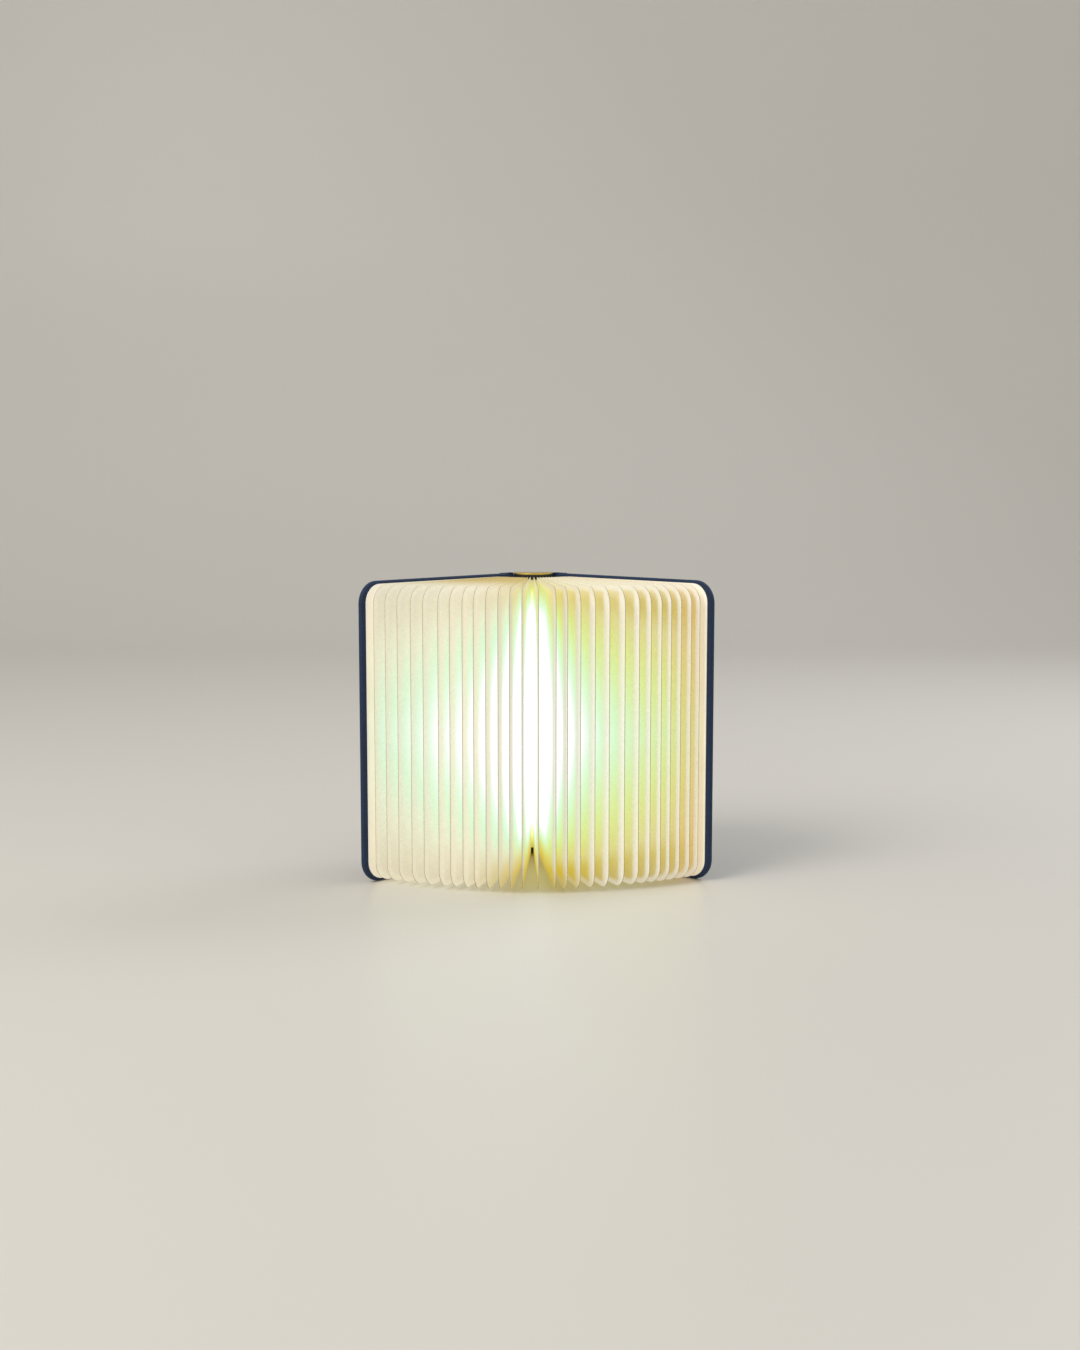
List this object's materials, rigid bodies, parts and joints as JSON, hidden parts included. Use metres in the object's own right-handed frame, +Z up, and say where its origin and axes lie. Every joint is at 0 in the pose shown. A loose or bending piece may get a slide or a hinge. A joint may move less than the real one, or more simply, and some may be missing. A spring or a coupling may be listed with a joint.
{
  "type": "folding book lamp",
  "caption": "Cordless lamp shaped as a hard-cover book that stands on edge: its covers swing apart and a fan of translucent paper pages opens and glows.",
  "frame": {"origin": "on the table, on the underside of the bottom end plate, midway between the two cover hinges", "axes": "+Z up along the spine; the pages open towards -Y and the spine's cloth back faces +Y; +X is to the right seen from the pages' side"},
  "size_m": [0.1424, 0.0879, 0.1224],
  "materials": {
    "linen_cloth": "navy linen book cloth, matt, fine woven",
    "greyboard": "dense grey bookbinding board",
    "end_paper": "smooth white end paper",
    "page_paper": "translucent spun paper, lit from the spine",
    "brass": "fine brushed brass",
    "housing_plastic": "moulded white plastic",
    "diffuser_plastic": "opal diffusing plastic, lit",
    "magnet_nickel": "bright nickel plating",
    "cell_foil": "satin pouch foil",
    "charge_board_resin": "green solder resist",
    "led_board_resin": "white solder resist",
    "socket_steel": "drawn steel shell",
    "black_plastic": "moulded black plastic",
    "screw_steel": "plated steel",
    "clear_plastic": "clear moulded plastic",
    "red_insulation": "soft red insulation",
    "black_insulation": "soft black insulation"
  },
  "bodies": {
    "spine": {"spine_housing": "housing_plastic", "diffuser": "diffuser_plastic", "spine_cloth": "linen_cloth", "top_end_plate": "brass", "bottom_end_plate": "brass", "left_plate_screw": "screw_steel", "right_plate_screw": "screw_steel", "battery_cell": "cell_foil", "battery_lead_red": "red_insulation", "battery_lead_black": "black_insulation", "led_board": "led_board_resin", "charge_board": "charge_board_resin", "usb_socket": "socket_steel", "board_connector": "black_plastic", "opening_sensor": "black_plastic", "charge_light_pipe": "clear_plastic", "page_14": "page_paper"},
    "right_cover": {"right_cover_board": "greyboard", "right_cover_cloth": "linen_cloth", "right_end_leaf": "end_paper", "right_lower_magnet": "magnet_nickel", "right_upper_magnet": "magnet_nickel", "switch_magnet": "magnet_nickel"},
    "left_cover": {"left_cover_board": "greyboard", "left_cover_cloth": "linen_cloth", "left_end_leaf": "end_paper", "left_lower_magnet": "magnet_nickel", "left_upper_magnet": "magnet_nickel"},
    "page_01_fin": {"page_01": "page_paper"},
    "page_02_fin": {"page_02": "page_paper"},
    "page_03_fin": {"page_03": "page_paper"},
    "page_04_fin": {"page_04": "page_paper"},
    "page_05_fin": {"page_05": "page_paper"},
    "page_06_fin": {"page_06": "page_paper"},
    "page_07_fin": {"page_07": "page_paper"},
    "page_08_fin": {"page_08": "page_paper"},
    "page_09_fin": {"page_09": "page_paper"},
    "page_10_fin": {"page_10": "page_paper"},
    "page_11_fin": {"page_11": "page_paper"},
    "page_12_fin": {"page_12": "page_paper"},
    "page_13_fin": {"page_13": "page_paper"},
    "page_15_fin": {"page_15": "page_paper"},
    "page_16_fin": {"page_16": "page_paper"},
    "page_17_fin": {"page_17": "page_paper"},
    "page_18_fin": {"page_18": "page_paper"},
    "page_19_fin": {"page_19": "page_paper"},
    "page_20_fin": {"page_20": "page_paper"},
    "page_21_fin": {"page_21": "page_paper"},
    "page_22_fin": {"page_22": "page_paper"},
    "page_23_fin": {"page_23": "page_paper"},
    "page_24_fin": {"page_24": "page_paper"},
    "page_25_fin": {"page_25": "page_paper"},
    "page_26_fin": {"page_26": "page_paper"},
    "page_27_fin": {"page_27": "page_paper"}
  },
  "joints": [
    {"name": "right_cover_hinge", "type": "hinge", "parent": "spine", "child": "right_cover", "pos_m": [0.0098, 0, 0], "axis": [0, 0, 1], "range_deg": [-43.5, 141.5]},
    {"name": "left_cover_hinge", "type": "hinge", "parent": "spine", "child": "left_cover", "pos_m": [-0.0098, 0, 0], "axis": [0, 0, 1], "range_deg": [-141.5, 43.5]},
    {"name": "page_01_fold", "type": "hinge", "parent": "spine", "child": "page_01_fin", "pos_m": [-0.0091, 0, 0], "axis": [0, 0, 1], "range_deg": [-134.5, 41.4]},
    {"name": "page_02_fold", "type": "hinge", "parent": "spine", "child": "page_02_fin", "pos_m": [-0.0084, 0, 0], "axis": [0, 0, 1], "range_deg": [-123.2, 37.9]},
    {"name": "page_03_fold", "type": "hinge", "parent": "spine", "child": "page_03_fin", "pos_m": [-0.0077, 0, 0], "axis": [0, 0, 1], "range_deg": [-111.9, 34.5]},
    {"name": "page_04_fold", "type": "hinge", "parent": "spine", "child": "page_04_fin", "pos_m": [-0.007, 0, 0], "axis": [0, 0, 1], "range_deg": [-99.9, 30.8]},
    {"name": "page_05_fold", "type": "hinge", "parent": "spine", "child": "page_05_fin", "pos_m": [-0.0063, 0, 0], "axis": [0, 0, 1], "range_deg": [-89.2, 27.5]},
    {"name": "page_06_fold", "type": "hinge", "parent": "spine", "child": "page_06_fin", "pos_m": [-0.0056, 0, 0], "axis": [0, 0, 1], "range_deg": [-76.5, 23.6]},
    {"name": "page_07_fold", "type": "hinge", "parent": "spine", "child": "page_07_fin", "pos_m": [-0.0049, 0, 0], "axis": [0, 0, 1], "range_deg": [-67.3, 20.8]},
    {"name": "page_08_fold", "type": "hinge", "parent": "spine", "child": "page_08_fin", "pos_m": [-0.0042, 0, 0], "axis": [0, 0, 1], "range_deg": [-57.4, 17.7]},
    {"name": "page_09_fold", "type": "hinge", "parent": "spine", "child": "page_09_fin", "pos_m": [-0.0035, 0, 0], "axis": [0, 0, 1], "range_deg": [-48.9, 15.1]},
    {"name": "page_10_fold", "type": "hinge", "parent": "spine", "child": "page_10_fin", "pos_m": [-0.0028, 0, 0], "axis": [0, 0, 1], "range_deg": [-39.7, 12.3]},
    {"name": "page_11_fold", "type": "hinge", "parent": "spine", "child": "page_11_fin", "pos_m": [-0.0021, 0, 0], "axis": [0, 0, 1], "range_deg": [-30.5, 9.5]},
    {"name": "page_12_fold", "type": "hinge", "parent": "spine", "child": "page_12_fin", "pos_m": [-0.0014, 0, 0], "axis": [0, 0, 1], "range_deg": [-22, 6.8]},
    {"name": "page_13_fold", "type": "hinge", "parent": "spine", "child": "page_13_fin", "pos_m": [-0.0007, 0, 0], "axis": [0, 0, 1], "range_deg": [-12.8, 4]},
    {"name": "page_15_fold", "type": "hinge", "parent": "spine", "child": "page_15_fin", "pos_m": [0.0007, 0, 0], "axis": [0, 0, 1], "range_deg": [-4.2, 13.5]},
    {"name": "page_16_fold", "type": "hinge", "parent": "spine", "child": "page_16_fin", "pos_m": [0.0014, 0, 0], "axis": [0, 0, 1], "range_deg": [-6.8, 22]},
    {"name": "page_17_fold", "type": "hinge", "parent": "spine", "child": "page_17_fin", "pos_m": [0.0021, 0, 0], "axis": [0, 0, 1], "range_deg": [-9.9, 31.9]},
    {"name": "page_18_fold", "type": "hinge", "parent": "spine", "child": "page_18_fin", "pos_m": [0.0028, 0, 0], "axis": [0, 0, 1], "range_deg": [-13.4, 43.3]},
    {"name": "page_19_fold", "type": "hinge", "parent": "spine", "child": "page_19_fin", "pos_m": [0.0035, 0, 0], "axis": [0, 0, 1], "range_deg": [-16.8, 54.6]},
    {"name": "page_20_fold", "type": "hinge", "parent": "spine", "child": "page_20_fin", "pos_m": [0.0042, 0, 0], "axis": [0, 0, 1], "range_deg": [-20.8, 67.3]},
    {"name": "page_21_fold", "type": "hinge", "parent": "spine", "child": "page_21_fin", "pos_m": [0.0049, 0, 0], "axis": [0, 0, 1], "range_deg": [-24.5, 79.3]},
    {"name": "page_22_fold", "type": "hinge", "parent": "spine", "child": "page_22_fin", "pos_m": [0.0056, 0, 0], "axis": [0, 0, 1], "range_deg": [-27.5, 89.2]},
    {"name": "page_23_fold", "type": "hinge", "parent": "spine", "child": "page_23_fin", "pos_m": [0.0063, 0, 0], "axis": [0, 0, 1], "range_deg": [-30.3, 98.4]},
    {"name": "page_24_fold", "type": "hinge", "parent": "spine", "child": "page_24_fin", "pos_m": [0.007, 0, 0], "axis": [0, 0, 1], "range_deg": [-32.9, 106.9]},
    {"name": "page_25_fold", "type": "hinge", "parent": "spine", "child": "page_25_fin", "pos_m": [0.0077, 0, 0], "axis": [0, 0, 1], "range_deg": [-35.8, 116.1]},
    {"name": "page_26_fold", "type": "hinge", "parent": "spine", "child": "page_26_fin", "pos_m": [0.0084, 0, 0], "axis": [0, 0, 1], "range_deg": [-38.8, 126]},
    {"name": "page_27_fold", "type": "hinge", "parent": "spine", "child": "page_27_fin", "pos_m": [0.0091, 0, 0], "axis": [0, 0, 1], "range_deg": [-41.4, 134.5]}
  ],
  "couplings": [
    {"joint": "left_cover_hinge", "follows": "right_cover_hinge", "ratio": -1},
    {"joint": "page_01_fold", "follows": "right_cover_hinge", "ratio": -0.95},
    {"joint": "page_02_fold", "follows": "right_cover_hinge", "ratio": -0.87},
    {"joint": "page_03_fold", "follows": "right_cover_hinge", "ratio": -0.79},
    {"joint": "page_04_fold", "follows": "right_cover_hinge", "ratio": -0.705},
    {"joint": "page_05_fold", "follows": "right_cover_hinge", "ratio": -0.63},
    {"joint": "page_06_fold", "follows": "right_cover_hinge", "ratio": -0.54},
    {"joint": "page_07_fold", "follows": "right_cover_hinge", "ratio": -0.475},
    {"joint": "page_08_fold", "follows": "right_cover_hinge", "ratio": -0.405},
    {"joint": "page_09_fold", "follows": "right_cover_hinge", "ratio": -0.345},
    {"joint": "page_10_fold", "follows": "right_cover_hinge", "ratio": -0.28},
    {"joint": "page_11_fold", "follows": "right_cover_hinge", "ratio": -0.215},
    {"joint": "page_12_fold", "follows": "right_cover_hinge", "ratio": -0.155},
    {"joint": "page_13_fold", "follows": "right_cover_hinge", "ratio": -0.09},
    {"joint": "page_15_fold", "follows": "right_cover_hinge", "ratio": 0.095},
    {"joint": "page_16_fold", "follows": "right_cover_hinge", "ratio": 0.155},
    {"joint": "page_17_fold", "follows": "right_cover_hinge", "ratio": 0.225},
    {"joint": "page_18_fold", "follows": "right_cover_hinge", "ratio": 0.305},
    {"joint": "page_19_fold", "follows": "right_cover_hinge", "ratio": 0.385},
    {"joint": "page_20_fold", "follows": "right_cover_hinge", "ratio": 0.475},
    {"joint": "page_21_fold", "follows": "right_cover_hinge", "ratio": 0.56},
    {"joint": "page_22_fold", "follows": "right_cover_hinge", "ratio": 0.63},
    {"joint": "page_23_fold", "follows": "right_cover_hinge", "ratio": 0.695},
    {"joint": "page_24_fold", "follows": "right_cover_hinge", "ratio": 0.755},
    {"joint": "page_25_fold", "follows": "right_cover_hinge", "ratio": 0.82},
    {"joint": "page_26_fold", "follows": "right_cover_hinge", "ratio": 0.89},
    {"joint": "page_27_fold", "follows": "right_cover_hinge", "ratio": 0.95}
  ]
}
